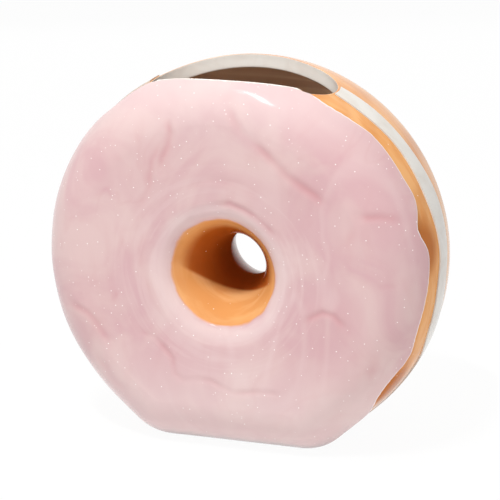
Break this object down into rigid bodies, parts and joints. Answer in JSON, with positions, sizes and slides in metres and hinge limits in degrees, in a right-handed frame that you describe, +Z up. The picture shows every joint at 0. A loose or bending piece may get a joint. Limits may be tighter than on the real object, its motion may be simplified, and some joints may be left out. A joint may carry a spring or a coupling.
{
  "type": "flower vase",
  "caption": "Donut-shaped ceramic flower vase that stands on edge, with wavy pink icing, a cream band, a through-hole and an oval mouth in its top.",
  "frame": {"origin": "centre of the base, on the surface that the vase stands on", "axes": "+Z up, +Y from the iced face to the back along the hole's axis, +X to the right seen from the iced face"},
  "size_m": [0.19, 0.0842, 0.1805],
  "materials": {
    "dough_glaze": "glossy orange-tan glaze",
    "cream_glaze": "glossy warm white glaze",
    "icing_glaze": "glossy pale pink glaze with soft marbling and fine white specks",
    "inside_glaze": "satin brown glaze",
    "bare_clay": "matte unglazed clay"
  },
  "bodies": {
    "root": {"front_shell": "dough_glaze", "rear_shell": "dough_glaze", "hole_tube": "dough_glaze", "cream_band": "cream_glaze", "mouth_rim": "cream_glaze", "icing": "icing_glaze", "glaze_lining": "inside_glaze", "foot": "bare_clay"}
  },
  "joints": []
}
